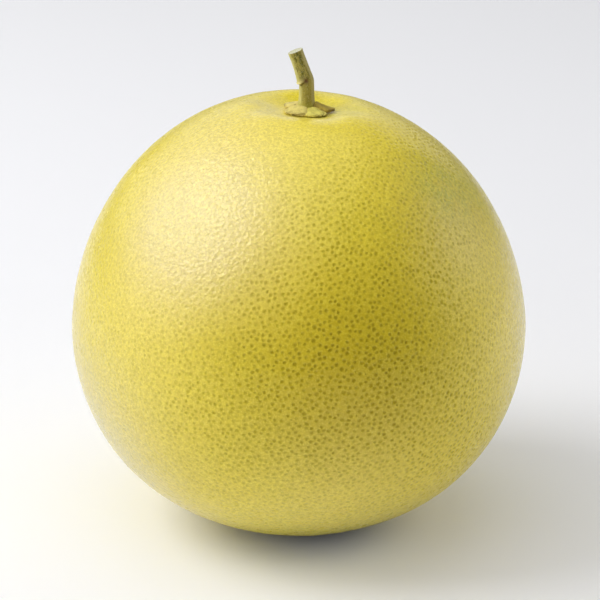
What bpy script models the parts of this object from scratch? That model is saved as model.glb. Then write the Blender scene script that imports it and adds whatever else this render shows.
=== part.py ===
"""A pomelo as picked: the fruit on its small flat resting spot, with its calyx and cut stem on top.

Units are metres and +Z is up. The origin is the middle of the flat spot, on the surface that
the fruit stands on. The camera side is -Y, and the stem leans towards -X.
"""

import math

import bmesh
import bpy
from mathutils import Vector

MM = 0.001
GAP = 0.3 * MM                    # clearance kept between pieces that touch

# Fruit body: the radius is a Legendre series in the cosine of the polar angle.
MEAN_RADIUS = 79.45 * MM
FLATTENING = -0.0156              # order 2, makes both ends flatter
PEAR_SHAPE = 0.0289               # order 3, narrows the shoulders and fills out the bottom
SQUARING = -0.0052                # order 4, rounds the shoulders in
SHOULDER_LEAN = -0.0036           # lifts the shoulder on the -X side
FLAT_SPOT_DEPTH = 0.9 * MM        # how much of the lowest cap is pressed flat

# Hollow that the stem grows out of. It has a nearly flat floor.
STEM_X = 2.7 * MM
DIMPLE_DEPTH = 5.7 * MM
DIMPLE_WIDTH = 15.5 * MM
DIMPLE_FLATNESS = 3.0             # 2 gives a bell curve, and more gives a flatter floor
PUCKER_DEPTH = 0.35 * MM
PUCKER_RING_RADIUS = 19.0 * MM
PUCKER_RING_WIDTH = 6.0 * MM
PUCKERS = ((5, 0.6, 0.6), (8, 2.3, 0.4))    # folds round the hollow, phase, share of the depth

HEIGHT_STEPS = 12                 # rounds of the search for the peel's height over a point
BODY_SEGMENTS = 64
BODY_RINGS = 42
RING_CROWDING = 1.6               # above 1 sets the rings closer together near the stem

# Calyx: a low disc under the stem, with five sepals that slope down from round the stem's foot.
DISC_RADIUS = 3.3 * MM
DISC_THICKNESS = 1.0 * MM
DISC_EDGE_DROP = 0.2 * MM
DISC_SEGMENTS = 24
DISC_RINGS = 3

SEPAL_INNER_THICKNESS = 1.75 * MM
SEPAL_TIP_THICKNESS = 0.45 * MM
SEPAL_SIDE_THICKNESS = 0.55       # share of the thickness that is left along its sides
SEPAL_TIP_WIDTH = 0.17            # width of its blunt tip, as a share of its full width
SEPAL_STEPS_OUT = 7
SEPAL_STEPS_ACROSS = 8

# Each sepal: direction, half its spread, how far its tip is from the stem's axis, roundness of
# its outline, and how far its tip curls up.
SEPALS = {
    "sepal_right": (-4.0, 28.0, 9.6 * MM, 1.4, 0.5 * MM),
    "sepal_front": (-66.0, 29.0, 8.7 * MM, 3.4, 0.1 * MM),
    "sepal_left_front": (222.0, 36.0, 8.3 * MM, 3.4, 0.3 * MM),
    "sepal_left_back": (143.0, 38.0, 8.6 * MM, 2.8, 0.9 * MM),
    "sepal_back": (64.0, 32.0, 8.4 * MM, 1.8, 0.5 * MM),
}

# Stem: upright from the disc to a node, then leaning to its cut end.
STEM_NODE_HEIGHT = 9.7 * MM       # from the stem's foot to where it bends
STEM_UPPER_LENGTH = 10.9 * MM
STEM_LEAN = math.radians(21.0)
STEM_LEAN_DIRECTION = math.radians(181.0)
STEM_BEND_LENGTH = 1.6 * MM       # the bend is rounded over this much of each side
STEM_FOOT_FLARE = 0.65 * MM
STEM_FOOT_FLARE_HEIGHT = 1.3 * MM
STEM_LOWER_RADIUS = 2.50 * MM
STEM_UPPER_RADIUS = 2.38 * MM
STEM_END_FLARE = 0.07 * MM
STEM_END_FLARE_LENGTH = 3.0 * MM
STEM_END_ROUNDING = 0.15 * MM
STEM_SEGMENTS = 28
STEM_RINGS = 44

# Leaf scar: a ledge on the -X, -Y side that overhangs the lower stem just under the bend.
SCAR_DIRECTION = math.radians(216.0)
SCAR_SPREAD = math.radians(44.0)
SCAR_BULGE = 1.45 * MM
SCAR_LOWER_EDGE = 8.5 * MM        # height of its lower edge over the stem's foot
SCAR_EDGE_LENGTH = 0.45 * MM
SCAR_EDGE_RISE = 1.3 * MM         # how much higher that edge is one spread to either side
SCAR_FADE_LENGTH = 3.6 * MM

# Colours are linear RGB.
PEEL_COLOUR = (0.62, 0.52, 0.055)
STEM_COLOUR = (0.36, 0.31, 0.08)
DISC_COLOUR = (0.45, 0.38, 0.10)
SEPAL_COLOUR = (0.56, 0.46, 0.14)


def clear_scene():
    for obj in list(bpy.data.objects):
        bpy.data.objects.remove(obj, do_unlink=True)


def make_material(name, colour, roughness):
    material = bpy.data.materials.new(name)
    material.use_nodes = True
    shader = material.node_tree.nodes["Principled BSDF"]
    shader.inputs["Base Color"].default_value = (*colour, 1.0)
    shader.inputs["Roughness"].default_value = roughness
    shader.inputs["Metallic"].default_value = 0.0
    return material


def add_object(name, bm, material):
    """A new object that holds bm, shaded smooth except at sharp edges."""
    bmesh.ops.recalc_face_normals(bm, faces=bm.faces)
    mesh = bpy.data.meshes.new(name)
    bm.to_mesh(mesh)
    bm.free()
    mesh.materials.append(material)
    mesh.shade_smooth()
    mesh.set_sharp_from_angle(angle=math.radians(40.0))
    obj = bpy.data.objects.new(name, mesh)
    bpy.context.scene.collection.objects.link(obj)
    return obj


def close_in_one_face(bm, ring):
    if len(ring) > 1:
        bm.faces.new(ring)


def close_in_rungs(bm, ring):
    """Closes the end of a curved band, across from each point of one side to the other side."""
    for i in range(len(ring) // 2 - 1):
        bm.faces.new((ring[i], ring[i + 1], ring[-2 - i], ring[-1 - i]))


def loft(rings, close_end):
    """A closed mesh through rings of points. An end ring of one point is a tip."""
    bm = bmesh.new()
    loops = [[bm.verts.new(point) for point in ring] for ring in rings]
    for below, above in zip(loops, loops[1:]):
        count = max(len(below), len(above))
        for i in range(count):
            j = (i + 1) % count
            corners = [below[i % len(below)], below[j % len(below)]]
            corners += [above[j % len(above)], above[i % len(above)]]
            bm.faces.new(list(dict.fromkeys(corners)))
    for end in (loops[0], loops[-1]):
        close_end(bm, end)
    return bm


def body_radius(direction):
    """Distance from the body's centre to its surface, before the stem's hollow is pressed in."""
    c = direction.z
    order_2 = (3 * c**2 - 1) / 2
    order_3 = (5 * c**3 - 3 * c) / 2
    order_4 = (35 * c**4 - 30 * c**2 + 3) / 8
    lean = c * direction.x
    series = FLATTENING * order_2 + PEAR_SHAPE * order_3 + SQUARING * order_4 + SHOULDER_LEAN * lean
    return MEAN_RADIUS * (1 + series)


def body_centre_height():
    return body_radius(Vector((0.0, 0.0, -1.0))) - FLAT_SPOT_DEPTH


def hollow_depth(x, y):
    """How far the peel is pressed down near the stem, with soft folds round the rim."""
    out = math.hypot(x - STEM_X, y)
    around = math.atan2(y, x - STEM_X)
    dimple = DIMPLE_DEPTH * math.exp(-((out / DIMPLE_WIDTH) ** DIMPLE_FLATNESS))
    folds = sum(share * math.cos(count * around + phase) for count, phase, share in PUCKERS)
    ring = math.exp(-(((out - PUCKER_RING_RADIUS) / PUCKER_RING_WIDTH) ** 2))
    return dimple + PUCKER_DEPTH * folds * ring


def peel_point(direction):
    """The point of the peel that lies in this direction from the body's centre."""
    point = direction * body_radius(direction)
    if point.z > 0:
        point.z -= hollow_depth(point.x, point.y)
    return point + Vector((0.0, 0.0, body_centre_height()))


def peel_height(x, y):
    """Height of the top of the peel over the point x, y."""
    z = MEAN_RADIUS
    for _ in range(HEIGHT_STEPS):
        radius = body_radius(Vector((x, y, z)).normalized())
        z = math.sqrt(radius**2 - x**2 - y**2)
    return z - hollow_depth(x, y) + body_centre_height()


def build_fruit(material):
    """The whole fruit in one piece, in rings round the line from its centre to the stem."""
    top = math.hypot(STEM_X, MEAN_RADIUS)
    stem_line = Vector((STEM_X, 0.0, MEAN_RADIUS)) / top
    to_stem = Vector((0.0, 0.0, 1.0)).rotation_difference(stem_line)
    rings = []
    for i in range(BODY_RINGS + 1):
        polar = math.pi * (i / BODY_RINGS) ** RING_CROWDING
        count = 1 if i in (0, BODY_RINGS) else BODY_SEGMENTS
        ring = []
        for j in range(count):
            around = 2 * math.pi * j / BODY_SEGMENTS
            flat = math.sin(polar)
            direction = Vector((flat * math.cos(around), flat * math.sin(around), math.cos(polar)))
            ring.append(peel_point(to_stem @ direction))
        rings.append(ring)
    bm = loft(rings, close_in_one_face)
    cut = bmesh.ops.bisect_plane(
        bm,
        geom=bm.verts[:] + bm.edges[:] + bm.faces[:],
        plane_co=(0.0, 0.0, 0.0),
        plane_no=(0.0, 0.0, -1.0),
        clear_outer=True,
    )
    rim = [item for item in cut["geom_cut"] if isinstance(item, bmesh.types.BMEdge)]
    bmesh.ops.edgeloop_fill(bm, edges=rim)
    return add_object("fruit", bm, material)


def disc_top_height():
    return peel_height(STEM_X, 0.0) + GAP + DISC_THICKNESS


def build_calyx_disc(material):
    """A low disc that follows the floor of the hollow and has a flat top under the stem."""

    def ring_at(radius, height_of):
        points = []
        for i in range(DISC_SEGMENTS):
            around = 2 * math.pi * i / DISC_SEGMENTS
            x = STEM_X + radius * math.cos(around)
            y = radius * math.sin(around)
            points.append((x, y, height_of(x, y)))
        return points

    def underside(x, y):
        return peel_height(x, y) + GAP

    def top(x, y):
        return disc_top_height()

    def rounded_edge(x, y):
        return disc_top_height() - DISC_EDGE_DROP

    rings = [[(STEM_X, 0.0, underside(STEM_X, 0.0))]]
    for i in range(1, DISC_RINGS + 1):
        rings.append(ring_at(DISC_RADIUS * i / DISC_RINGS, underside))
    rings.append(ring_at(DISC_RADIUS, rounded_edge))
    rings.append(ring_at(DISC_RADIUS - DISC_EDGE_DROP, top))
    return add_object("calyx_disc", loft(rings, close_in_one_face), material)


def build_sepal(name, material):
    """One lobe that leaves the disc's edge and lies over the hollow, thick at the stem."""
    degrees, half_spread, tip, roundness, curl = SEPALS[name]
    middle = math.radians(degrees)
    inner = DISC_RADIUS + GAP

    def ring_at(along):
        out = inner + (tip - inner) * along
        narrowing = math.sqrt(1 - (1 - SEPAL_TIP_WIDTH**2) * along**roundness)
        spread = math.radians(half_spread) * narrowing
        thickness = SEPAL_INNER_THICKNESS * (1 - along) + SEPAL_TIP_THICKNESS * along
        underside = []
        top = []
        for i in range(SEPAL_STEPS_ACROSS + 1):
            across = 2 * i / SEPAL_STEPS_ACROSS - 1
            x = STEM_X + out * math.cos(middle + spread * across)
            y = out * math.sin(middle + spread * across)
            low = peel_height(x, y) + GAP + curl * along**2
            swell = 1 - (1 - SEPAL_SIDE_THICKNESS) * across**2
            underside.append((x, y, low))
            top.append((x, y, low + thickness * swell))
        return underside + top[::-1]

    rings = [ring_at(i / SEPAL_STEPS_OUT) for i in range(SEPAL_STEPS_OUT + 1)]
    return add_object(name, loft(rings, close_in_rungs), material)


def stem_line(along):
    """(point, direction) on the stem's middle line, this far from its foot."""
    lean = Vector((math.cos(STEM_LEAN_DIRECTION), math.sin(STEM_LEAN_DIRECTION), 0.0))
    up = Vector((0.0, 0.0, 1.0))
    upper = lean * math.sin(STEM_LEAN) + up * math.cos(STEM_LEAN)
    bend_start = STEM_NODE_HEIGHT - STEM_BEND_LENGTH
    foot = Vector((STEM_X, 0.0, disc_top_height() + GAP))
    corner = foot + up * STEM_NODE_HEIGHT
    if along <= bend_start:
        return foot + up * along, up
    turned = (along - bend_start) / (2 * STEM_BEND_LENGTH)
    if turned >= 1:
        beyond = along - bend_start - STEM_BEND_LENGTH
        return corner + upper * beyond, upper
    before = corner - up * STEM_BEND_LENGTH
    after = corner + upper * STEM_BEND_LENGTH
    point = before * (1 - turned) ** 2 + corner * 2 * turned * (1 - turned) + after * turned**2
    return point, (up * (1 - turned) + upper * turned).normalized()


def smooth_step(value):
    value = min(max(value, 0.0), 1.0)
    return value * value * (3 - 2 * value)


def stem_radius(along, around):
    """Radius of the stem at this distance from its foot, in this direction about its axis."""
    length = STEM_NODE_HEIGHT + STEM_UPPER_LENGTH
    share = smooth_step(along / length)
    plain = STEM_LOWER_RADIUS * (1 - share) + STEM_UPPER_RADIUS * share
    flare = STEM_FOOT_FLARE * math.exp(-along / STEM_FOOT_FLARE_HEIGHT)
    end = STEM_END_FLARE * smooth_step(1 - (length - along) / STEM_END_FLARE_LENGTH)
    from_scar = math.remainder(around - SCAR_DIRECTION, 2 * math.pi) / SCAR_SPREAD
    over_edge = along - SCAR_LOWER_EDGE - SCAR_EDGE_RISE * abs(from_scar)
    edge = smooth_step(over_edge / SCAR_EDGE_LENGTH)
    fade = math.exp(-max(over_edge, 0.0) / SCAR_FADE_LENGTH)
    ledge = SCAR_BULGE * math.exp(-(from_scar**2)) * edge * fade
    return plain + flare + end + ledge


def build_stem(material):
    """The stem with its bend and leaf scar, cut off square at the top."""
    length = STEM_NODE_HEIGHT + STEM_UPPER_LENGTH

    def ring_at(along, inset):
        centre, direction = stem_line(along)
        side = Vector((0.0, 1.0, 0.0)).cross(direction).normalized()
        front = direction.cross(side)
        points = []
        for i in range(STEM_SEGMENTS):
            around = 2 * math.pi * i / STEM_SEGMENTS
            radius = stem_radius(along, around) - inset
            points.append(centre + (side * math.cos(around) + front * math.sin(around)) * radius)
        return points

    straight = length - STEM_END_ROUNDING
    rings = [ring_at(straight * i / STEM_RINGS, 0.0) for i in range(STEM_RINGS + 1)]
    rings.append(ring_at(length, STEM_END_ROUNDING))
    return add_object("stem", loft(rings, close_in_one_face), material)


def main():
    clear_scene()
    build_fruit(make_material("peel", PEEL_COLOUR, 0.38))
    build_calyx_disc(make_material("calyx", DISC_COLOUR, 0.7))
    build_stem(make_material("stem", STEM_COLOUR, 0.65))
    sepal_material = make_material("sepal", SEPAL_COLOUR, 0.75)
    for name in SEPALS:
        build_sepal(name, sepal_material)


main()
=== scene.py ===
"""The looks of the pomelo: its pitted peel, cut stem and calyx, on a pale studio floor.

Units are metres and +Z is up. The shape formulas are those of the CAD model, with fine detail added.
The stem and the calyx differ from the CAD model a little in size.
"""

import math
from collections import namedtuple

import bmesh
import bpy
import numpy as np
from mathutils import Matrix, Vector, kdtree, noise


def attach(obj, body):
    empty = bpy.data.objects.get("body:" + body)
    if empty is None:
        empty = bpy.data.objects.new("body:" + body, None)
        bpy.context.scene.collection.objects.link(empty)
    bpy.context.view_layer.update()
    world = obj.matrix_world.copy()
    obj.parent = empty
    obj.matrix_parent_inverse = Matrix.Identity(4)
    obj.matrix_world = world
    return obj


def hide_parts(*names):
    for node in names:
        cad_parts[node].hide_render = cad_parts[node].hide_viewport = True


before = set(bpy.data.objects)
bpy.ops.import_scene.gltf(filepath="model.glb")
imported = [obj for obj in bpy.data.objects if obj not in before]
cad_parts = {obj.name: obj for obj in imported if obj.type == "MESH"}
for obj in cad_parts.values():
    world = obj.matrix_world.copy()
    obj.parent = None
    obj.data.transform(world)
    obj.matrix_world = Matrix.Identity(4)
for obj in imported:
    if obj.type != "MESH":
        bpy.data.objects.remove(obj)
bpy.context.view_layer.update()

MM = 0.001
GAP = 0.3 * MM
SEED = 41

# Fruit body, as in the CAD model: a Legendre series in the cosine of the polar angle.
MEAN_RADIUS = 79.45 * MM
FLATTENING = -0.0156
PEAR_SHAPE = 0.0289
SQUARING = -0.0052
SHOULDER_LEAN = -0.0036
FLAT_SPOT_DEPTH = 0.9 * MM

# Hollow round the stem, as in the CAD model.
STEM_X = 2.7 * MM
DIMPLE_DEPTH = 5.7 * MM
DIMPLE_WIDTH = 15.5 * MM
DIMPLE_FLATNESS = 3.0
PUCKER_DEPTH = 0.35 * MM
PUCKER_RING_RADIUS = 19.0 * MM
PUCKER_RING_WIDTH = 6.0 * MM
PUCKERS = ((5, 0.6, 0.6), (8, 2.3, 0.4))
HEIGHT_STEPS = 12                 # rounds of the search for the peel's height over a point

# Oil glands of the peel: each is a shallow pit in a cell of its own.
GLAND_COUNT = 18400
GLAND_SCATTER = 0.24              # as a share of the mean spacing
GLAND_CLOSEST = 0.76              # as a share of the mean spacing
SPREADING_ROUNDS = 3
PIT_DEPTH = 0.13 * MM
DOT_RADIUS = 0.9 * MM             # where the colour of a gland has faded out
RINGED_GLANDS = 0.34              # share of the glands, the strongest, whose pits have an inner ring
RING_SHARE = 0.5                  # place of that ring between the gland and the corners of its cell
RING_DEPTH = 0.42                 # its depth, as a share of the pit's
STRENGTH_MEAN = 0.82              # strength is how much of its colour and depth a gland has
STRENGTH_SCATTER = 0.14
STRENGTH_RANGE = (0.3, 1.0)
SIZE_SCATTER = 0.10
SIZE_RANGE = (0.75, 1.25)
CALM_RADIUS = 30 * MM             # round the stem the glands are small and faint
CALM_HIDES = 0.85
CALM_SHRINKS = 0.3
BLOOM_HIDES = 0.50                # how much of a gland's strength the thickest bloom hides
PLAIN_STRENGTH = 0.71             # share of its strength that a gland keeps on plain peel
GOLDEN_STRENGTH = 0.32            # how much more it keeps where the peel is golden

# Soft unevenness of the peel: (height, size of one swell).
LUMPS = ((0.34 * MM, 34 * MM), (0.10 * MM, 13 * MM), (0.055 * MM, 5.5 * MM))
LUMP_SHIFT = 1e4                  # starts each size of swell in another place of the noise
LUMP_FREE_RADIUS = 15 * MM        # round the stem the peel has no lumps

# Broad patches of the peel: azimuth and elevation of the middle, width (all in degrees), how much
# lighter it is, how much waxy bloom it has, and how green it is (golden below 0). The lightness is
# painted light and shade, such as the darker front middle and bottom and the lighter right rim, with
# some made-up tone on the back. The bloom adds a painted highlight and sheen, a cream tint, as well as
# the coat's real gloss.
PEEL_PATCHES_AND_PAINTED_LIGHT = (
    (-75, 5, 35, -0.2, 0.0, -0.6),
    (-125, 40, 20, 0.0, 1.3, 0.2),
    (-95, 45, 25, 0.15, 0.1, 0.0),
    (-130, 5, 25, 0.05, 0.2, 0.0),
    (-20, 10, 30, 0.45, 0.5, 0.0),
    (-80, -35, 30, 0.15, 0.4, 0.3),
    (-80, -70, 20, -0.7, -0.8, 0.8),
    (-60, -65, 15, -0.25, -0.2, 0.2),
    (-60, 70, 25, 0.15, 0.2, 0.0),
    (-35, 40, 15, -0.05, 0.3, 0.0),
    (-170, 10, 30, -0.1, 0.2, 0.0),
    (-150, -25, 25, 0.0, 0.8, 0.4),
    (-150, 65, 20, 0.05, 0.4, 0.0),
    (-5, 80, 10, -0.05, 0.0, 0.4),
    (-30, 45, 10, 0.0, 0.0, 0.8),
    (-10, 40, 10, 0.0, 0.0, 0.4),
    (15, -25, 20, 0.0, 0.0, 0.4),
    (120, 20, 25, -0.15, 0.0, 0.5),
    (70, 45, 15, 0.0, 0.4, 0.4),
    (60, 0, 30, 0.1, 0.5, 0.0),
)

# Places where the glands hardly show: azimuth, elevation and width as above, then the share hidden.
FAINT_GLANDS = (
    (-130, 40, 20, 0.5),
    (-170, 20, 30, 0.3),
    (-150, -25, 30, 0.6),
    (-10, 15, 30, 0.4),
    (-90, -60, 30, 0.5),
    (-90, 65, 20, 0.4),
)

# Flower-end scar, in the middle of the flat spot.
FLOWER_SCAR_RADIUS = 4.2 * MM
FLOWER_SCAR_DEPTH = 0.7 * MM


def body_radius(directions):
    """Distance from the body's centre to its surface, for unit vectors in an array."""
    c = directions[:, 2]
    order_2 = (3 * c**2 - 1) / 2
    order_3 = (5 * c**3 - 3 * c) / 2
    order_4 = (35 * c**4 - 30 * c**2 + 3) / 8
    lean = c * directions[:, 0]
    series = FLATTENING * order_2 + PEAR_SHAPE * order_3 + SQUARING * order_4 + SHOULDER_LEAN * lean
    return MEAN_RADIUS * (1 + series)


def unit(vectors):
    """The vectors in an array, each scaled to length 1."""
    return vectors / np.linalg.norm(vectors, axis=1)[:, None]


CENTRE_HEIGHT = float(body_radius(np.array([[0.0, 0.0, -1.0]]))[0]) - FLAT_SPOT_DEPTH


def hollow_depth(x, y):
    """How far the peel is pressed down near the stem, with soft folds round the rim."""
    out = np.hypot(x - STEM_X, y)
    around = np.arctan2(y, x - STEM_X)
    dimple = DIMPLE_DEPTH * np.exp(-((out / DIMPLE_WIDTH) ** DIMPLE_FLATNESS))
    folds = sum(share * np.cos(count * around + phase) for count, phase, share in PUCKERS)
    ring = np.exp(-(((out - PUCKER_RING_RADIUS) / PUCKER_RING_WIDTH) ** 2))
    return dimple + PUCKER_DEPTH * folds * ring


def peel_height(x, y):
    """Height of the top of the peel over the points x, y."""
    z = np.full_like(x, MEAN_RADIUS)
    for _ in range(HEIGHT_STEPS):
        radius = body_radius(unit(np.stack((x, y, z), axis=1)))
        z = np.sqrt(radius**2 - x**2 - y**2)
    return z - hollow_depth(x, y) + CENTRE_HEIGHT


def push_apart(spots, closest):
    """Moves each spot away from its nearest neighbour, where that is closer than this."""
    tree = kdtree.KDTree(len(spots))
    for i, spot in enumerate(spots):
        tree.insert(spot, i)
    tree.balance()
    moved = spots.copy()
    for i, spot in enumerate(spots):
        near = tree.find_n(spot, 2)[1]
        away = spot - np.array(near[0])
        missing = closest - near[2]
        if missing > 0:
            moved[i] += away / near[2] * missing / 2
    return unit(moved)


def gland_directions(random):
    """Unit vectors to the glands: an even spiral, scattered until it looks grown."""
    index = np.arange(GLAND_COUNT) + 0.5
    height = 1 - 2 * index / GLAND_COUNT
    around = index * math.pi * (3 - math.sqrt(5))
    flat = np.sqrt(1 - height**2)
    spots = np.stack((flat * np.cos(around), flat * np.sin(around), height), axis=1)
    spacing = math.sqrt(4 * math.pi / GLAND_COUNT)
    spots = unit(spots + random.normal(0, GLAND_SCATTER * spacing, spots.shape))
    for _ in range(SPREADING_ROUNDS):
        spots = push_apart(spots, GLAND_CLOSEST * spacing)
    return spots


def cells_around(spots):
    """The cell borders between the spots: (corner directions, the corners of each spot's cell)."""
    bm = bmesh.new()
    for spot in spots:
        bm.verts.new(spot)
    bm.verts.index_update()
    bmesh.ops.convex_hull(bm, input=bm.verts)
    bm.faces.index_update()
    corners = unit(np.array([face.calc_center_median() for face in bm.faces]))
    cells = []
    for vert in bm.verts:
        side = vert.co.orthogonal().normalized()
        front = vert.co.cross(side)
        turns = []
        for face in vert.link_faces:
            corner = Vector(corners[face.index])
            turns.append((math.atan2(corner.dot(front), corner.dot(side)), face.index))
        cells.append([index for _, index in sorted(turns)])
    bm.free()
    return corners, cells


def lump_height(directions):
    """Soft swells of the whole surface, which fade out towards the stem."""
    heights = np.zeros(len(directions))
    for height, size in LUMPS:
        scale = MEAN_RADIUS / size
        swells = [noise.noise(Vector(direction * scale + size * LUMP_SHIFT)) for direction in directions]
        heights += height * np.array(swells)
    from_stem = np.hypot(directions[:, 0] - STEM_X / MEAN_RADIUS, directions[:, 1]) * MEAN_RADIUS
    calm_top = np.exp(-((from_stem / LUMP_FREE_RADIUS) ** 4)) * (directions[:, 2] > 0)
    return heights * (1 - calm_top)


def peel_points(directions, pit_depths):
    """Points of the peel in these directions, each pressed in by its pit depth."""
    radius = body_radius(directions) + lump_height(directions) - pit_depths
    points = directions * radius[:, None]
    hollow = hollow_depth(points[:, 0], points[:, 1])
    points[:, 2] -= np.where(points[:, 2] > 0, hollow, 0.0)
    points[:, 2] += CENTRE_HEIGHT
    out = np.hypot(points[:, 0], points[:, 1])
    scar = FLOWER_SCAR_DEPTH * np.exp(-((out / FLOWER_SCAR_RADIUS) ** 4))
    floor = np.where(directions[:, 2] < 0, scar + pit_depths, 0.0)
    points[:, 2] = np.maximum(points[:, 2], floor)
    return points


def gland_looks(spots, random):
    """(strength, size) of each gland, where 1 is full strength and plain size."""
    count = len(spots)
    strength = np.clip(random.normal(STRENGTH_MEAN, STRENGTH_SCATTER, count), *STRENGTH_RANGE)
    size = np.clip(random.normal(1.0, SIZE_SCATTER, count), *SIZE_RANGE)
    from_stem = np.arccos(np.clip(spots[:, 2], -1, 1)) * MEAN_RADIUS
    near_stem = np.exp(-((from_stem / CALM_RADIUS) ** 2))
    _, bloom_and_painted_highlight, greenness = patches(spots, PEEL_PATCHES_AND_PAINTED_LIGHT).T
    faint = patches(spots, FAINT_GLANDS)[:, 0]
    strength *= (1 - CALM_HIDES * near_stem) * (1 - BLOOM_HIDES * np.clip(bloom_and_painted_highlight, 0, 1))
    strength *= (1 - faint) * (PLAIN_STRENGTH - GOLDEN_STRENGTH * np.minimum(greenness, 0))
    size *= 1 - CALM_SHRINKS * near_stem
    return strength, size


def cell_faces(cells, ringed, first_corner, first_ring):
    """Faces from each gland to its cell's corners: (faces, the gland that each belongs to)."""
    faces = []
    owners = []
    next_index = first_ring
    for gland, cell in enumerate(cells):
        outer = [first_corner + corner for corner in cell]
        total = len(outer)
        inner = outer
        if ringed[gland]:
            inner = list(range(next_index, next_index + total))
            next_index += total
        for i in range(total):
            j = (i + 1) % total
            faces.append((gland, inner[i], inner[j]))
            owners.append(gland)
            if ringed[gland]:
                faces.append((inner[i], outer[i], outer[j], inner[j]))
                owners.append(gland)
    return faces, np.array(owners)


def build_peel(material):
    """The peel in one closed mesh: a cell for each gland, with its pit in the middle."""
    random = np.random.default_rng(SEED)
    spots = gland_directions(random)
    corners, cells = cells_around(spots)
    strength, size = gland_looks(spots, random)
    ringed = strength > np.quantile(strength, 1 - RINGED_GLANDS)
    depth = PIT_DEPTH * strength * size

    directions = [spots, corners]
    depths = [depth, np.zeros(len(corners))]
    for gland in np.flatnonzero(ringed):
        cell = cells[gland]
        directions.append(spots[gland] * (1 - RING_SHARE) + corners[cell] * RING_SHARE)
        depths.append(np.full(len(cell), depth[gland] * RING_DEPTH))
    directions = unit(np.concatenate(directions))
    points = peel_points(directions, np.concatenate(depths))
    faces, owners = cell_faces(cells, ringed, len(spots), len(spots) + len(corners))

    mesh = bpy.data.meshes.new("peel")
    mesh.from_pydata(points.tolist(), [], faces)
    even_points = directions * body_radius(directions)[:, None]
    loop_vertices = np.empty(len(mesh.loops), np.int32)
    mesh.loops.foreach_get("vertex_index", loop_vertices)
    loop_owners = np.repeat(owners, [len(face) for face in faces])
    offsets = (even_points[loop_vertices] - even_points[loop_owners]) / MM
    add_attribute(mesh, "gland_offset", offsets, "FLOAT_VECTOR", "CORNER")
    add_attribute(mesh, "gland_strength", strength[owners], "FLOAT", "FACE")
    add_attribute(mesh, "gland_size", size[owners], "FLOAT", "FACE")
    add_attribute(mesh, "patches", patches(directions, PEEL_PATCHES_AND_PAINTED_LIGHT), "FLOAT_VECTOR")
    return add_piece("peel", mesh, material)


def patches(directions, table):
    """The amounts that the table's soft round patches add up to, for each direction."""
    total = np.zeros((len(directions), len(table[0]) - 3))
    for azimuth, elevation, width, *amounts in table:
        centre = np.array(spherical(azimuth, elevation))
        apart = np.arccos(np.clip(directions @ centre, -1, 1))
        share = np.exp(-((apart / math.radians(width)) ** 2))
        total += share[:, None] * np.array(amounts)
    return total


def spherical(azimuth, elevation):
    """Unit vector at these degrees: azimuth turns from +X towards +Y."""
    a = math.radians(azimuth)
    e = math.radians(elevation)
    return Vector((math.cos(e) * math.cos(a), math.cos(e) * math.sin(a), math.sin(e)))


# Stem and its disc. The places, lengths and directions are the CAD model's; the bend is tighter,
# and the flare at the foot, the upper radius and the ledge are a little larger.
DISC_THICKNESS = 1.0 * MM
STEM_NODE_HEIGHT = 9.7 * MM
STEM_UPPER_LENGTH = 10.9 * MM
STEM_LEAN = math.radians(21.0)
STEM_LEAN_DIRECTION = math.radians(181.0)
STEM_BEND_LENGTH = 0.9 * MM
STEM_FOOT_FLARE = 0.75 * MM
STEM_FOOT_FLARE_HEIGHT = 2.4 * MM
STEM_LOWER_RADIUS = 2.50 * MM
STEM_UPPER_RADIUS = 2.54 * MM
STEM_END_FLARE = 0.07 * MM
STEM_END_FLARE_LENGTH = 3.0 * MM
SCAR_DIRECTION = math.radians(216.0)
SCAR_SPREAD = math.radians(44.0)
SCAR_BULGE = 1.6 * MM
SCAR_LOWER_EDGE = 8.5 * MM
SCAR_EDGE_LENGTH = 0.45 * MM
SCAR_EDGE_RISE = 1.3 * MM
SCAR_FADE_LENGTH = 3.6 * MM

# Finer stem detail.
STEM_SEGMENTS = 88
STEM_RINGS = 170
STEM_SUNK = 0.7 * MM              # how far the stem's foot reaches down into the calyx
BARK_WAVES = (                    # swells round the stem, their length along it, shift, height
    (2.4, 11 * MM, (0.0, 0.0), 0.13 * MM),
    (6.5, 5 * MM, (5.0, 0.0), 0.065 * MM),
    (17, 0.9 * MM, (0.0, 9.0), 0.035 * MM),
)
SCAR_JAG = 0.35 * MM              # how jagged the ledge's lower edge is
LEDGE_LIP_HEIGHT = 1.1 * MM       # the pale lip's middle, over the ledge's lower edge
LEDGE_LIP_WIDTH = 1.1 * MM
UNDER_LEDGE_DROP = 0.15 * MM      # the painted shade line's middle, under the ledge's lower edge
UNDER_LEDGE_WIDTH = 0.42 * MM
BUD_SCAR_DIRECTION = math.radians(-90.0)
BUD_SCAR_HEIGHT = 10.0 * MM
BUD_SCAR_SIZE = 0.8 * MM
BUD_SCAR_DEPTH = 0.35 * MM
BUD_SCAR_SQUEEZE = 0.8            # makes the scar longer along the stem than round it
CUT_RINGS = 14
CUT_INSET = 0.05 * MM             # the cut face is drawn in and lifted by this much
PITH_RADIUS = 0.55 * MM
PITH_DEPTH = 0.22 * MM
CUT_DEPTH = 0.14 * MM
CUT_RIM_SHARE = 0.12              # share of the radius over which the rim slopes down to the face

# Collar round the stem: radius and height over the peel of its outline, in mm.
COLLAR_PROFILE = (
    (0.0, 0.02), (1.2, 0.02), (2.4, 0.02), (3.6, 0.02), (4.1, 0.25), (4.2, 0.6), (4.0, 1.0),
    (3.7, 1.35), (3.3, 1.55), (2.9, 1.6), (2.4, 1.55), (1.2, 1.5), (0.0, 1.5),
)
COLLAR_SEGMENTS = 72
COLLAR_GRAIN = 0.1 * MM
COLLAR_GRAIN_SIZE = 0.8 * MM

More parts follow.
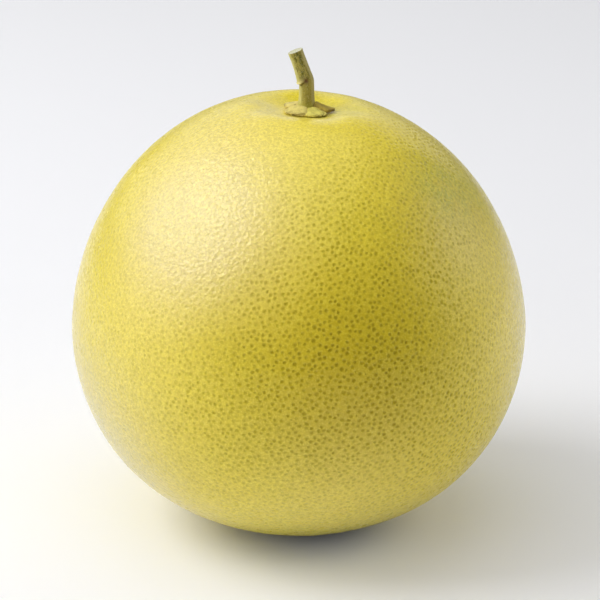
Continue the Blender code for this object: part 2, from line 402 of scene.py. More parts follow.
# Sepals. Direction and spread are in degrees, and tip is how far the tip is from the stem's axis.
# Fullness is how far out the lobe stays thick, rise is how high it climbs up the stem, crevice is
# how deep the gap to the stem is, and ragged and dried go from 0 to 1.
Sepal = namedtuple(
    "Sepal", "direction spread tip roundness curl fullness thickness rise crevice ragged dried tone"
)
SEPALS = {
    "sepal_right": Sepal(
        -7, 34, 9.4 * MM, 1.25, 0.8 * MM, 1.0, 4.5 * MM, 0.0, 0.5, 0.9, 0.5, (0.50, 0.375, 0.06)
    ),
    "sepal_front": Sepal(
        -61, 35, 9.8 * MM, 3.2, 0.25 * MM, 1.6, 2.7 * MM, 0.0, 0.5, 0.9, 0.15, (0.72, 0.64, 0.13)
    ),
    "sepal_left_front": Sepal(
        230, 52, 8.5 * MM, 4.0, 0.15 * MM, 1.6, 3.0 * MM, 0.0, 0.3, 0.9, 0.12, (0.76, 0.64, 0.18)
    ),
    "sepal_left_back": Sepal(
        152, 36, 8.3 * MM, 1.9, 0.9 * MM, 1.8, 3.1 * MM, 0.3 * MM, 0.0, 0.9, 0.5, (0.73, 0.61, 0.19)
    ),
    "sepal_back": Sepal(
        76, 33, 8.0 * MM, 1.8, 0.5 * MM, 1.8, 1.9 * MM, 0.0, 0.5, 0.6, 0.6, (0.42, 0.33, 0.09)
    ),
}
SEPAL_INNER_RADIUS = 2.3 * MM
SEPAL_TIP_THICKNESS = 0.4 * MM
SEPAL_TIP_WIDTH = 0.17
SEPAL_STEPS_OUT = 46
SEPAL_STEPS_ACROSS = 40
SEPAL_GAP = 0.08 * MM             # between the lobe's underside and the peel
SEPAL_SIDE_THICKNESS = 0.35       # share of the thickness that is left along its sides
SEPAL_CREVICE_WIDTH = 0.09        # as a share of the lobe's length
SEPAL_CLIMB_LENGTH = 0.55         # as a share of the lobe's length
SEPAL_RAGGED_TIP = 0.13           # unevenness of the length and of the width of a ragged lobe
SEPAL_RAGGED_SIDES = 0.16
SEPAL_RIDGE = 0.22 * MM           # height of the ribs where the lobe is ragged
SEPAL_GRAIN = 0.05 * MM
SEPAL_FINE_GRAIN = 0.025 * MM
SEPAL_WAVES = ((3.2, 0.0, 1.3), (9.0, 4.0, 5.0), (22.0, 8.0, 18.0))   # swells across, shift, along
SEPAL_RIM_SIDE = 1 / 6            # the relief is lower this near to the sides,
SEPAL_RIM_TIP = 1 / 8             # and this near to the tip, as shares of the lobe,
SEPAL_RIM_RELIEF = 0.3            # down to this share of its height


def smooth_step(value):
    """0 up to 0, 1 from 1 on, and a smooth rise between."""
    value = min(max(value, 0.0), 1.0)
    return value * value * (3 - 2 * value)


def stem_foot_height():
    """The stem stands a gap over the disc, which lies a gap over the peel."""
    floor = peel_height(np.array([STEM_X]), np.array([0.0]))[0]
    return float(floor) + GAP + DISC_THICKNESS + GAP


STEM_FOOT_HEIGHT = stem_foot_height()


def stem_line(along):
    """(point, direction) on the stem's middle line, this far from its foot."""
    lean = Vector((math.cos(STEM_LEAN_DIRECTION), math.sin(STEM_LEAN_DIRECTION), 0.0))
    up = Vector((0.0, 0.0, 1.0))
    upper = lean * math.sin(STEM_LEAN) + up * math.cos(STEM_LEAN)
    bend_start = STEM_NODE_HEIGHT - STEM_BEND_LENGTH
    foot = Vector((STEM_X, 0.0, STEM_FOOT_HEIGHT))
    corner = foot + up * STEM_NODE_HEIGHT
    if along <= bend_start:
        return foot + up * along, up
    turned = (along - bend_start) / (2 * STEM_BEND_LENGTH)
    if turned >= 1:
        beyond = along - bend_start - STEM_BEND_LENGTH
        return corner + upper * beyond, upper
    before = corner - up * STEM_BEND_LENGTH
    after = corner + upper * STEM_BEND_LENGTH
    point = before * (1 - turned) ** 2 + corner * 2 * turned * (1 - turned) + after * turned**2
    return point, (up * (1 - turned) + upper * turned).normalized()


def turn_from(around, direction):
    """Signed angle from this direction to around."""
    return math.remainder(around - direction, 2 * math.pi)


def scar_edge_offset(along, around):
    """How far this point is above the leaf scar's lower edge, which is jagged."""
    from_scar = turn_from(around, SCAR_DIRECTION) / SCAR_SPREAD
    jag = SCAR_JAG * noise.noise(Vector((from_scar * 3.1, 7.3, 0.0)))
    return along - SCAR_LOWER_EDGE - SCAR_EDGE_RISE * abs(from_scar) ** 1.3 + jag


def bud_scar_share(along, around):
    """1 in the middle of the small scar beside the ledge, 0 away from it."""
    across = turn_from(around, BUD_SCAR_DIRECTION) * STEM_UPPER_RADIUS
    apart = math.hypot(across, (along - BUD_SCAR_HEIGHT) * BUD_SCAR_SQUEEZE)
    return math.exp(-((apart / BUD_SCAR_SIZE) ** 2))


def stem_radius(along, around):
    """Radius of the stem here, with ridges of bark, a ragged ledge and the bud's scar."""
    length = STEM_NODE_HEIGHT + STEM_UPPER_LENGTH
    share = smooth_step(along / length)
    plain = STEM_LOWER_RADIUS * (1 - share) + STEM_UPPER_RADIUS * share
    flare = STEM_FOOT_FLARE * math.exp(-max(along, 0.0) / STEM_FOOT_FLARE_HEIGHT)
    end = STEM_END_FLARE * smooth_step(1 - (length - along) / STEM_END_FLARE_LENGTH)
    from_scar = turn_from(around, SCAR_DIRECTION) / SCAR_SPREAD
    over_edge = scar_edge_offset(along, around)
    edge = smooth_step(over_edge / SCAR_EDGE_LENGTH)
    fade = math.exp(-max(over_edge, 0.0) / SCAR_FADE_LENGTH)
    ledge = SCAR_BULGE * math.exp(-(from_scar**2)) * edge * fade
    side = Vector((math.cos(around), math.sin(around), 0.0))
    bark = 0.0
    for swells, wave_length, shift, height in BARK_WAVES:
        bark += noise.noise(side * swells + Vector((*shift, along / wave_length))) * height
    pit = BUD_SCAR_DEPTH * bud_scar_share(along, around)
    return plain + flare + end + ledge + bark - pit


def stem_ring(along, inset, sink, share):
    """One ring of stem points, drawn in towards the axis and lowered along it."""
    centre, direction = stem_line(along)
    side = Vector((0.0, 1.0, 0.0)).cross(direction).normalized()
    front = direction.cross(side)
    points = []
    for i in range(STEM_SEGMENTS):
        around = 2 * math.pi * i / STEM_SEGMENTS
        radius = (stem_radius(along, around) - inset) * share
        spoke = side * math.cos(around) + front * math.sin(around)
        points.append(centre + spoke * radius - direction * sink)
    return points


def cut_sink(share):
    """Depth of the cut face below the bark's rim, from the middle at 0 to the rim at 1."""
    pith = PITH_DEPTH * math.exp(-((share * STEM_UPPER_RADIUS / PITH_RADIUS) ** 2))
    return pith + CUT_DEPTH * smooth_step((1 - share) / CUT_RIM_SHARE)


def ledge_shares(along, around):
    """How much of the ledge's pale lip, and of the painted shade line under it, is at this point."""
    from_scar = turn_from(around, SCAR_DIRECTION) / SCAR_SPREAD
    above = scar_edge_offset(along, around)
    lip = math.exp(-(((above - LEDGE_LIP_HEIGHT) / LEDGE_LIP_WIDTH) ** 2))
    under = math.exp(-(((above + UNDER_LEDGE_DROP) / UNDER_LEDGE_WIDTH) ** 2))
    return lip * math.exp(-(from_scar**2)), under * math.exp(-(from_scar**4))


def bark_marks(along, around, cut):
    """What the material needs to know about a point of the stem; cut is 1 on the cut face."""
    lip, under = ledge_shares(along, around)
    return {
        "height": along / MM,
        "cut_face": cut,
        "scar": bud_scar_share(along, around) * (1 - cut),
        "ledge": lip * (1 - cut),
        "painted_shade_under_ledge": under * (1 - cut),
    }


def stem_rings():
    """The stem's rings, up the bark and in over the cut face: (points, distance from foot, cut)."""
    length = STEM_NODE_HEIGHT + STEM_UPPER_LENGTH
    rings = []
    for i in range(STEM_RINGS + 1):
        along = -STEM_SUNK + (length + STEM_SUNK) * i / STEM_RINGS
        rings.append((stem_ring(along, 0.0, 0.0, 1.0), along, 0.0))
    for i in range(CUT_RINGS):
        share = 1 - (i + 0.5) / CUT_RINGS
        rings.append((stem_ring(length, CUT_INSET, cut_sink(share) - CUT_INSET, share), length, 1.0))
    return rings


def build_stem(material):
    """The stem with ridged bark, a leaf scar with a ragged ledge, and a cut face with its pith."""
    length = STEM_NODE_HEIGHT + STEM_UPPER_LENGTH
    count = STEM_SEGMENTS
    points = []
    places = []
    marks = []
    for ring, along, cut in stem_rings():
        points += ring
        for i in range(count):
            around = 2 * math.pi * i / count
            places.append((math.cos(around), math.sin(around), along / MM))
            marks.append(bark_marks(along, around, cut))
    top = len(points)
    centre, direction = stem_line(length)
    points.append(centre - direction * cut_sink(0.0))
    places.append((0.0, 0.0, length / MM))
    marks.append(bark_marks(length, 0.0, 1.0))

    faces = [tuple(range(count))[::-1]]
    for low in range(0, top - count, count):
        for i in range(count):
            j = (i + 1) % count
            faces.append((low + i, low + j, low + count + j, low + count + i))
    last = top - count
    for i in range(count):
        faces.append((last + i, last + (i + 1) % count, top))
    mesh = bpy.data.meshes.new("stem")
    mesh.from_pydata(points, [], faces)
    add_attribute(mesh, "bark_place", places, "FLOAT_VECTOR")
    for name in marks[0]:
        add_attribute(mesh, name, [mark[name] for mark in marks])
    return add_piece("cut_stem", mesh, material)


def build_collar(material):
    """The low collar that the stem stands in, between the sepals."""
    segments = COLLAR_SEGMENTS
    points = []
    for radius, height in COLLAR_PROFILE:
        count = segments if radius > 0 else 1
        around = np.arange(count) * 2 * math.pi / segments
        x = STEM_X + radius * MM * np.cos(around)
        y = radius * MM * np.sin(around)
        z = peel_height(x, y) + height * MM
        for point in zip(x, y, z):
            grain = noise.noise(Vector(point) / COLLAR_GRAIN_SIZE) * COLLAR_GRAIN * min(height, 1.0)
            points.append((point[0], point[1], point[2] + grain))
    faces = []
    start = 0
    for (low_radius, _), (high_radius, _) in zip(COLLAR_PROFILE, COLLAR_PROFILE[1:]):
        low = segments if low_radius > 0 else 1
        high = segments if high_radius > 0 else 1
        for i in range(segments):
            j = (i + 1) % segments
            corners = (start + i % low, start + j % low, start + low + j % high, start + low + i % high)
            faces.append(tuple(dict.fromkeys(corners)))
        start += low
    mesh = bpy.data.meshes.new("calyx_collar")
    mesh.from_pydata(points, [], faces)
    return add_piece("calyx_collar", mesh, material)


def fractals(seed, places, octaves):
    """Fractal noise at each of these places."""
    return np.array([noise.fractal(seed + Vector(place), 0.6, 2.0, octaves) for place in places])


def sepal_outline(lobe, seed, along, across):
    """Where the lobe's points lie, seen from above: (x, y)."""
    tips = fractals(seed, [(side * 4.0, 0.0, 0.0) for side in across], 4)
    side_places = [(0.0, far * 5.0, math.copysign(2.0, side)) for far, side in zip(along, across)]
    sides = fractals(seed, side_places, 3)
    longer = 1 + SEPAL_RAGGED_TIP * lobe.ragged * tips * along**3
    wider = 1 + SEPAL_RAGGED_SIDES * lobe.ragged * sides * np.abs(across)
    out = SEPAL_INNER_RADIUS + (lobe.tip - SEPAL_INNER_RADIUS) * along * longer
    narrowing = np.sqrt(np.maximum(1 - (1 - SEPAL_TIP_WIDTH**2) * along**lobe.roundness, 0.0))
    around = math.radians(lobe.direction) + math.radians(lobe.spread) * narrowing * wider * across
    return STEM_X + out * np.cos(around), out * np.sin(around)


def sepal_relief(lobe, seed, along, across):
    """Heights of the ribs and the grain on the lobe's top."""
    heights = np.zeros(len(along))
    sizes = (SEPAL_RIDGE * lobe.ragged, SEPAL_GRAIN, SEPAL_FINE_GRAIN)
    for size, (swells_across, shift, swells_along) in zip(sizes, SEPAL_WAVES):
        for i, (side, far) in enumerate(zip(across, along)):
            place = Vector((side * swells_across, shift, far * swells_along))
            heights[i] += noise.noise(seed + place) * size
    inside = np.clip((1 - np.abs(across)) / SEPAL_RIM_SIDE, 0.0, 1.0)
    inside *= np.clip((1 - along) / SEPAL_RIM_TIP, 0.0, 1.0)
    return heights * (SEPAL_RIM_RELIEF + (1 - SEPAL_RIM_RELIEF) * inside)


def sepal_thickness(lobe, along, across):
    """How thick the lobe is, from the stem (along 0) to its tip (1) and from side to side."""
    full = 1 - along**lobe.fullness
    body = full * lobe.thickness + (1 - full) * SEPAL_TIP_THICKNESS
    dip = 1 - lobe.crevice * np.exp(-((along / SEPAL_CREVICE_WIDTH) ** 2))
    climb = lobe.rise * np.maximum(1 - along / SEPAL_CLIMB_LENGTH, 0.0) ** 2
    crown = np.sqrt(np.maximum(1 - across**4, 0.0))
    return (body * dip + climb) * (SEPAL_SIDE_THICKNESS + (1 - SEPAL_SIDE_THICKNESS) * crown)


def slab_faces(rows, columns):
    """Faces of a closed slab: two grids of points, the lower one first, with walls between them."""
    wide = columns + 1
    count = (rows + 1) * wide

    def at(i, j, upper):
        return i * wide + j + count * upper

    faces = []
    for i in range(rows):
        for j in range(columns):
            faces.append((at(i, j, 1), at(i + 1, j, 1), at(i + 1, j + 1, 1), at(i, j + 1, 1)))
            faces.append((at(i, j, 0), at(i, j + 1, 0), at(i + 1, j + 1, 0), at(i + 1, j, 0)))
    last = columns
    for i in range(rows):
        faces.append((at(i, 0, 0), at(i + 1, 0, 0), at(i + 1, 0, 1), at(i, 0, 1)))
        faces.append((at(i, last, 0), at(i, last, 1), at(i + 1, last, 1), at(i + 1, last, 0)))
    end = rows
    for j in range(columns):
        faces.append((at(0, j, 0), at(0, j, 1), at(0, j + 1, 1), at(0, j + 1, 0)))
        faces.append((at(end, j, 0), at(end, j + 1, 0), at(end, j + 1, 1), at(end, j, 1)))
    return faces


def build_sepal(name, material):
    """One dried lobe of the calyx: thick at the stem, ribbed, with a ragged edge."""
    lobe = SEPALS[name]
    steps_out = SEPAL_STEPS_OUT
    steps_across = SEPAL_STEPS_ACROSS
    along = np.sin(np.linspace(0.0, 1.0, steps_out + 1) * math.pi / 2)[:, None]
    across = np.sin(np.linspace(-math.pi / 2, math.pi / 2, steps_across + 1))[None, :]
    along, across = (grid.ravel() for grid in np.broadcast_arrays(along, across))
    seed = Vector((lobe.direction, 3.0, 1.0))
    x, y = sepal_outline(lobe, seed, along, across)
    low = peel_height(x, y) + SEPAL_GAP + lobe.curl * along**2
    top = low + sepal_thickness(lobe, along, across) + sepal_relief(lobe, seed, along, across)
    points = np.concatenate((np.stack((x, y, low), 1), np.stack((x, y, top), 1)))
    mesh = bpy.data.meshes.new(name + "_lobe")
    mesh.from_pydata(points.tolist(), [], slab_faces(steps_out, steps_across))
    add_attribute(mesh, "tip_share", np.tile(along, 2))
    add_attribute(mesh, "edge_share", np.tile(np.abs(across), 2))
    return add_piece(name + "_lobe", mesh, material)


def add_attribute(mesh, name, values, kind="FLOAT", domain="POINT"):
    """Gives the mesh an attribute for its material to read."""
    attribute = mesh.attributes.new(name, kind, domain)
    field = "vector" if kind == "FLOAT_VECTOR" else "value"
    attribute.data.foreach_set(field, np.asarray(values, np.float32).ravel())


def add_piece(name, mesh, material):
    """A smooth shaded object of this mesh, in the scene."""
    mesh.materials.append(material)
    mesh.shade_smooth()
    obj = bpy.data.objects.new(name, mesh)
    bpy.context.scene.collection.objects.link(obj)
    return obj


class Recipe:
    """A material whose nodes are added one after another. Values are numbers, colours or outputs."""

    def __init__(self, name, **settings):
        self.material = bpy.data.materials.new(name)
        self.material.use_nodes = True
        self.tree = self.material.node_tree
        self.shader = self.tree.nodes["Principled BSDF"]
        for socket, value in settings.items():
            self.shader.inputs[socket.replace("_", " ")].default_value = value
        self.place = self.add("ShaderNodeTexCoord").outputs["Object"]

    def add(self, kind, inputs=None, **properties):
        """A new node with these values or outputs on its inputs."""
        made = self.tree.nodes.new(kind)
        for name, value in properties.items():
            setattr(made, name, value)
        for key, value in (inputs or {}).items():
            self.plug(made.inputs[key], value)
        return made

    def plug(self, socket, value):
        if isinstance(value, bpy.types.NodeSocket):
            self.tree.links.new(value, socket)
        elif isinstance(value, tuple) and len(value) == 3 and socket.type == "RGBA":
            socket.default_value = (*value, 1.0)
        else:
            socket.default_value = value

    def finish(self, **links):
        """Sets more of the shader's sockets, by name, and returns the material."""
        for socket, value in links.items():
            self.plug(self.shader.inputs[socket.replace("_", " ")], value)
        return self.material

    def noise(self, size, detail=3.0, roughness=0.5, distortion=0.0, place=None):
        """Noise whose swells are this many metres across."""
        inputs = {
            "Vector": place or self.place,
            "Scale": 1 / size,
            "Detail": detail,
            "Roughness": roughness,
            "Distortion": distortion,
        }
        return self.add("ShaderNodeTexNoise", inputs).outputs["Fac"]

    def scaled(self, vector, x, y, z):
        """The vector with its axes scaled, for noise that runs along one way."""
        inputs = {0: vector, 1: (x, y, z)}
        return self.add("ShaderNodeVectorMath", inputs, operation="MULTIPLY").outputs[0]

    def attribute(self, name, output="Fac"):
        """One of the values that add_attribute gave the mesh."""
        made = self.add("ShaderNodeAttribute", attribute_name=name, attribute_type="GEOMETRY")
        return made.outputs[output]

    def calc(self, operation, a, b=0.0):
        """The result of a calculation with one or two numbers."""
        return self.add("ShaderNodeMath", {0: a, 1: b}, operation=operation).outputs[0]

    def length(self, vector):
        return self.add("ShaderNodeVectorMath", {0: vector}, operation="LENGTH").outputs["Value"]

    def fade(self, value, start, end, low=0.0, high=1.0):
        """A smooth change from low to high as the value goes from start to end."""
        inputs = {"Value": value, "From Min": start, "From Max": end, "To Min": low, "To Max": high}
        made = self.add("ShaderNodeMapRange", inputs, interpolation_type="SMOOTHSTEP")
        return made.outputs["Result"]

    def mix(self, factor, a, b, blend="MIX"):
        """Colour a, turned towards colour b by the factor."""
        made = self.tree.nodes.new("ShaderNodeMix")
        made.data_type = "RGBA"
        made.blend_type = blend
        self.plug(made.inputs[0], factor)
        self.plug(made.inputs[6], a)
        self.plug(made.inputs[7], b)
        return made.outputs[2]

    def bump(self, height, depth, normal=None):
        """A bump of this many metres for a height from 0 to 1."""
        inputs = {"Height": height, "Distance": depth, "Strength": 1.0}
        if normal:
            inputs["Normal"] = normal
        return self.add("ShaderNodeBump", inputs).outputs["Normal"]


# Colours, in linear RGB.
PEEL_DEEP = (0.70, 0.567, 0.006)
PEEL_YELLOW = (0.755, 0.595, 0.010)
PEEL_GREEN = (0.51, 0.53, 0.012)
PEEL_MOTTLE = (0.84, 0.69, 0.015)
PEEL_NET = (0.90, 0.74, 0.020)
PEEL_RIDGES = (0.98, 0.86, 0.08)
GLAND_COLOUR = (0.25, 0.19, 0.0)
PAINTED_HIGHLIGHT_TINT = (0.0, 0.0, 0.20)     # painted highlight and sheen: cream added to the peel where the bloom is 1
BARK_PALE = (0.60, 0.55, 0.20)
BARK_OLIVE = (0.52, 0.48, 0.15)
# The next two colours are painted shade: browner on the stem's right side, darker on its front.
BARK_PAINTED_SHADE_RIGHT = (0.48, 0.40, 0.14)
BARK_PAINTED_SHADE_FRONT = (0.36, 0.29, 0.035)
BARK_STREAKS = (0.10, 0.10, 0.008)
BARK_FLECKS = (0.68, 0.63, 0.30)
BARK_FOOT = (0.54, 0.50, 0.05)
LEDGE_LIP = (0.88, 0.76, 0.34)
# painted shade: the dark line under the stem's ledge
UNDER_LEDGE_PAINTED_SHADE = (0.17, 0.13, 0.02)
BUD_SCAR = (0.16, 0.075, 0.04)
WOOD_PALE = (0.66, 0.66, 0.47)
WOOD_GREY = (0.50, 0.49, 0.33)
DRIED_BROWN = (0.26, 0.16, 0.045)
DRIED_SPECKS = (0.24, 0.17, 0.04)
COLLAR_TONE = (0.46, 0.42, 0.11)
COLLAR_DRIED = 0.2

PLAIN_LEVEL = 0.96                # how light the peel is where its patches add nothing
GOLDEN_LEVEL = 0.08               # how much the golden peel's green part is lowered


def gland_mark(peel):
    """How strongly a gland's dot shows at each point, from 0 to 1."""
    wobble = peel.fade(peel.noise(0.7 * MM, 2.0), 0.2, 0.8, -0.10, 0.10)
    distance = peel.length(peel.attribute("gland_offset", "Vector"))
    reach = peel.calc("DIVIDE", peel.calc("ADD", distance, wobble), peel.attribute("gland_size"))
    dot = peel.fade(reach, 0.15, DOT_RADIUS / MM, 1.0, 0.0)
    patchy = peel.fade(peel.noise(16 * MM, 2.0), 0.35, 0.65, 0.75, 1.0)
    return peel.calc("MULTIPLY", peel.calc("MULTIPLY", dot, peel.attribute("gland_strength")), patchy)


def peel_colour(peel, mark, painted_light_and_tone, bloom_and_painted_highlight, greenness):
    """Yellow peel with a paler net between the glands, greener and golden places, painted light and
    shade from the patches, and a painted highlight and sheen where the bloom is.
    """
    clouds = peel.fade(peel.noise(55 * MM, 3.0), 0.35, 0.65)
    colour = peel.mix(clouds, PEEL_DEEP, PEEL_YELLOW)
    green = peel.calc("MULTIPLY", greenness, peel.fade(peel.noise(9 * MM, 4.0), 0.3, 0.6, 0.3, 1.0))
    colour = peel.mix(green, colour, PEEL_GREEN)
    mottle = peel.fade(peel.noise(2.6 * MM, 4.0, 0.6), 0.3, 0.7, 0.0, 0.30)
    colour = peel.mix(mottle, colour, PEEL_MOTTLE)
    net = peel.fade(peel.noise(1.1 * MM, 3.0, 0.6), 0.42, 0.64, 0.0, 0.60)
    colour = peel.mix(net, colour, PEEL_NET)
    ridges = peel.fade(peel.noise(0.55 * MM, 3.0, 0.6), 0.45, 0.68, 0.0, 0.45)
    colour = peel.mix(ridges, colour, PEEL_RIDGES)
    # painted highlight and sheen: a cream tint where the bloom is
    colour = peel.mix(bloom_and_painted_highlight, colour, PAINTED_HIGHLIGHT_TINT, "ADD")
    colour = peel.mix(peel.calc("MULTIPLY", mark, 0.80), colour, GLAND_COLOUR)
    # painted light and shade: the patches make the peel lighter or darker
    level = peel.calc("ADD", painted_light_and_tone, PLAIN_LEVEL)
    golden = peel.calc("MULTIPLY", peel.calc("MINIMUM", greenness, 0.0), GOLDEN_LEVEL)
    levels = {0: level, 1: peel.calc("ADD", level, golden), 2: level}
    return peel.mix(1.0, colour, peel.add("ShaderNodeCombineXYZ", levels).outputs[0], "MULTIPLY")


def peel_relief(peel, mark, bloom_and_painted_highlight):
    """The pits, ripples that are higher in thick bloom, and a fine grain."""
    normal = peel.bump(peel.calc("MULTIPLY", mark, -1.0), 0.26 * MM)
    waxy = peel.fade(peel.fade(bloom_and_painted_highlight, 0.1, 0.8), 0.0, 1.0, 0.45, 2.2)
    normal = peel.bump(peel.calc("MULTIPLY", peel.noise(1.5 * MM, 3.0, 0.6), waxy), 0.22 * MM, normal)
    return peel.bump(peel.noise(0.45 * MM, 3.0), 0.02 * MM, normal)


def peel_material():
    """Waxy yellow peel: darker gland dots, a paler net between them, soft patches of painted light and
    shade, and bloom with a painted highlight and sheen.
    """
    peel = Recipe("pomelo_peel", Specular_IOR_Level=0.06, Coat_Roughness=0.20)
    mark = gland_mark(peel)
    # the patches hold painted light and shade, the bloom with its painted highlight and sheen, and
    # greenness
    broad = peel.add("ShaderNodeSeparateXYZ", {0: peel.attribute("patches", "Vector")})
    painted_light_and_tone, bloom_and_painted_highlight, greenness = broad.outputs
    colour = peel_colour(peel, mark, painted_light_and_tone, bloom_and_painted_highlight, greenness)
    roughness = peel.fade(peel.noise(3.0 * MM, 3.0), 0.3, 0.7, 0.26, 0.34)
    normal = peel_relief(peel, mark, bloom_and_painted_highlight)
    between_glands = peel.fade(mark, 0.0, 0.6, 1.0, 0.0)
    coat = peel.calc("MULTIPLY", peel.fade(bloom_and_painted_highlight, -0.5, 0.8, 0.1, 1.0), between_glands)
    peel.finish(Base_Color=colour, Roughness=roughness, Normal=normal)
    return peel.finish(Coat_Weight=coat, Coat_Normal=normal)


def stem_material():
    """Olive bark, its front darkened and its right side browned as painted shade, streaked with green on
    its front, with a painted shade line under the ledge, and pale wood where it was cut.
    """
    stem = Recipe("pomelo_stem", Specular_IOR_Level=0.3)
    place = stem.attribute("bark_place", "Vector")
    streaks = stem.noise(0.34, 5.0, 0.7, place=stem.scaled(place, 1.0, 1.0, 0.12))
    fine = stem.noise(0.13, 3.0, 0.6, place=stem.scaled(place, 1.0, 1.0, 0.3))
    height = stem.attribute("height")
    upper = stem.fade(height, 8.0, 14.0)
    sides = stem.add("ShaderNodeSeparateXYZ", {0: place})
    # painted shade: these mark the stem's right side and front, which are turned from the bright lights
    right = stem.fade(sides.outputs["X"], -0.2, 0.9)
    front = stem.fade(sides.outputs["Y"], -0.62, -0.90)

    blotches = stem.fade(stem.noise(3.0 * MM, 3.0), 0.35, 0.65)
    colour = stem.mix(blotches, BARK_PALE, BARK_OLIVE)
    # painted shade on the stem's right side and front
    colour = stem.mix(stem.calc("MULTIPLY", right, 0.8), colour, BARK_PAINTED_SHADE_RIGHT)
    colour = stem.mix(stem.calc("MULTIPLY", front, 0.8), colour, BARK_PAINTED_SHADE_FRONT)
    # the real green streaks are laid only on the shaded front, which they darken further
    amount = stem.calc("MULTIPLY", stem.fade(upper, 0.0, 1.0, 0.35, 1.0), front)
    streaked = stem.calc("MULTIPLY", stem.fade(streaks, 0.47, 0.56), amount)
    colour = stem.mix(stem.calc("MULTIPLY", streaked, 0.9), colour, BARK_STREAKS)
    pale = stem.fade(fine, 0.5, 0.72, 0.0, 0.5)
    colour = stem.mix(pale, colour, BARK_FLECKS)
    foot = stem.fade(height, 3.2, 0.2, 0.0, 0.5)
    colour = stem.mix(foot, colour, BARK_FOOT)
    lip = stem.calc("MULTIPLY", stem.attribute("ledge"), 0.6)
    colour = stem.mix(lip, colour, LEDGE_LIP)
    # painted shade: the dark line under the ledge
    colour = stem.mix(stem.attribute("painted_shade_under_ledge"), colour, UNDER_LEDGE_PAINTED_SHADE)
    colour = stem.mix(stem.attribute("scar"), colour, BUD_SCAR)
    grey = stem.fade(stem.noise(0.5 * MM, 4.0), 0.35, 0.65)
    wood = stem.mix(grey, WOOD_PALE, WOOD_GREY)
    colour = stem.mix(stem.attribute("cut_face"), colour, wood)
    rough = stem.fade(streaks, 0.3, 0.7, 0.5, 0.75)
    relief = stem.calc("ADD", streaks, stem.calc("MULTIPLY", fine, 0.6))
    return stem.finish(Base_Color=colour, Roughness=rough, Normal=stem.bump(relief, 0.12 * MM))


def sepal_material(name, colour, dried):
    """Leathery lobe: a base colour that dries to brown towards the tip and the edges."""
    sepal = Recipe("pomelo_" + name, Specular_IOR_Level=0.3)
    blotch = sepal.noise(1.6 * MM, 4.0, 0.6)
    ragged = sepal.fade(blotch, 0.3, 0.7, -0.25, 0.25)
    tip = sepal.fade(sepal.calc("ADD", sepal.attribute("tip_share"), ragged), 0.80, 1.05)
    edge = sepal.fade(sepal.calc("ADD", sepal.attribute("edge_share"), ragged), 0.85, 1.05)
    brown = sepal.calc("MULTIPLY", sepal.calc("MAXIMUM", tip, edge), 0.15 + 0.7 * dried)
    tone = sepal.mix(sepal.fade(blotch, 0.35, 0.65), colour, tuple(c * 0.82 for c in colour))
    tone = sepal.mix(brown, tone, DRIED_BROWN)
    speck = sepal.fade(sepal.noise(0.35 * MM, 2.0), 0.62, 0.72, 0.0, 0.3)
    tone = sepal.mix(speck, tone, DRIED_SPECKS)
    grain = sepal.noise(0.4 * MM, 4.0, 0.65)
    rough = sepal.fade(grain, 0.3, 0.7, 0.55, 0.8)
    return sepal.finish(Base_Color=tone, Roughness=rough, Normal=sepal.bump(grain, 0.08 * MM))


# Studio: soft boxes, (azimuth, elevation, distance, width, height, brightness).
SOFT_BOXES = {
    "key": (182, 45, 1.7, 1.05, 1.0, 5.5),
    "left_low": (-172, 12, 1.9, 1.8, 0.6, 1.7),
    "back_left": (135, 22, 1.9, 1.2, 1.1, 1.1),
    "back": (85, 22, 2.0, 2.0, 1.2, 0.8),
    "right": (5, 20, 1.8, 1.5, 1.0, 1.2),
    "right_back": (42, 12, 1.8, 1.2, 0.6, 0.3),
    "top": (90, 82, 1.7, 1.6, 1.6, 1.0),
    "front_left": (-122, 42, 1.8, 2.3, 2.1, 0.7),
    "front_high": (-90, 64, 1.8, 1.6, 1.0, 0.4),
    "front_right": (-48, 34, 1.9, 1.2, 1.2, 0.3),
}
FLOOR_SIZE = 12.0
FLOOR_COLOUR = (0.790, 0.792, 0.819, 1.0)
FLOOR_GLOW = 0.13                 # far from the fruit
FLOOR_GLOW_NEAR = 0.15            # round the fruit; under it there is none, a painted contact shadow
PAINTED_CONTACT_SHADOW_SPAN = (15 * MM, 55 * MM)       # distances from the fruit's middle, where that glow sets in over the painted contact shadow
FAR_GLOW_SPAN = (100 * MM, 260 * MM)      # and where it changes to the far one
WHITE = (1.0, 1.0, 1.0, 1.0)


def add_floor():
    """A pale floor that glows a little, as one lit by a whole white room does; right under the fruit the
    glow is left out, as a painted contact shadow.
    """
    mesh = bpy.data.meshes.new("floor")
    half = FLOOR_SIZE / 2
    corners = [(-half, -half, 0), (half, -half, 0), (half, half, 0), (-half, half, 0)]
    mesh.from_pydata(corners, [], [(0, 1, 2, 3)])
    recipe = Recipe("studio_floor", Base_Color=FLOOR_COLOUR, Roughness=0.7, Emission_Color=WHITE)
    out = recipe.length(recipe.place)
    # painted contact shadow: no glow right under the fruit, rising to the near glow further out
    near = recipe.fade(out, *PAINTED_CONTACT_SHADOW_SPAN, 0.0, FLOOR_GLOW_NEAR)
    far = recipe.fade(out, *FAR_GLOW_SPAN, 0.0, FLOOR_GLOW - FLOOR_GLOW_NEAR)
    recipe.finish(Specular_IOR_Level=0.2, Emission_Strength=recipe.calc("ADD", near, far))
    add_piece("floor", mesh, recipe.material)


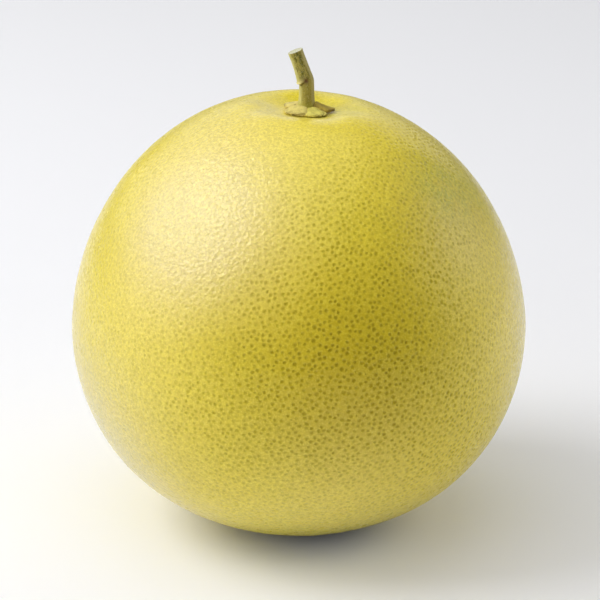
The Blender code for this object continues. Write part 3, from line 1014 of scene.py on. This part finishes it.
def add_area_light(name, azimuth, elevation, distance, width, height, brightness):
    """A white soft box that faces the fruit. Its brightness is the same for any size and distance."""
    light = bpy.data.lights.new(name, "AREA")
    light.shape = "RECTANGLE"
    light.size = width
    light.size_y = height
    light.energy = math.pi * width * height * brightness
    obj = bpy.data.objects.new(name, light)
    target = Vector((0.0, 0.0, CENTRE_HEIGHT))
    obj.location = target + spherical(azimuth, elevation) * distance
    obj.rotation_euler = (target - obj.location).to_track_quat("-Z", "Y").to_euler()
    bpy.context.scene.collection.objects.link(obj)


def add_dark_world():
    """The room beyond the soft boxes gives no light of its own."""
    world = bpy.data.worlds.new("studio")
    world.use_nodes = True
    world.node_tree.nodes["Background"].inputs["Strength"].default_value = 0.0
    bpy.context.scene.world = world


# Camera: 20 degrees above the fruit's middle, with the fruit's centre a little left and below.
CAMERA_ELEVATION = math.radians(20.0)
CAMERA_DISTANCE = 0.8
CAMERA_FOCAL_LENGTH = 135.5
SENSOR_WIDTH = 36.0
AIM_RIGHT = 0.44 * MM
AIM_UP = 5.4 * MM


def add_camera():
    tilt = CAMERA_ELEVATION
    right = Vector((1.0, 0.0, 0.0))
    up = Vector((0.0, math.sin(tilt), math.cos(tilt)))
    back = Vector((0.0, -math.cos(tilt), math.sin(tilt)))
    camera = bpy.data.cameras.new("camera")
    camera.sensor_width = SENSOR_WIDTH
    camera.lens = CAMERA_FOCAL_LENGTH
    camera.clip_start = 0.01
    obj = bpy.data.objects.new("camera", camera)
    aim = Vector((0.0, 0.0, CENTRE_HEIGHT)) + right * AIM_RIGHT + up * AIM_UP
    turn = Matrix((right, up, back)).transposed().to_4x4()
    obj.matrix_world = Matrix.Translation(aim + back * CAMERA_DISTANCE) @ turn
    bpy.context.scene.collection.objects.link(obj)
    bpy.context.scene.camera = obj


def show(piece, node):
    """Puts a finished piece in place of its CAD node."""
    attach(piece, "root")
    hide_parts(node)


def main():
    add_camera()
    bpy.context.scene.view_settings.view_transform = "Standard"
    add_floor()
    for name, placing in SOFT_BOXES.items():
        add_area_light(name, *placing)
    add_dark_world()
    show(build_peel(peel_material()), "fruit")
    show(build_stem(stem_material()), "stem")
    show(build_collar(sepal_material("calyx", COLLAR_TONE, COLLAR_DRIED)), "calyx_disc")
    for name in SEPALS:
        material = sepal_material(name, SEPALS[name].tone, SEPALS[name].dried)
        show(build_sepal(name, material), name)


main()
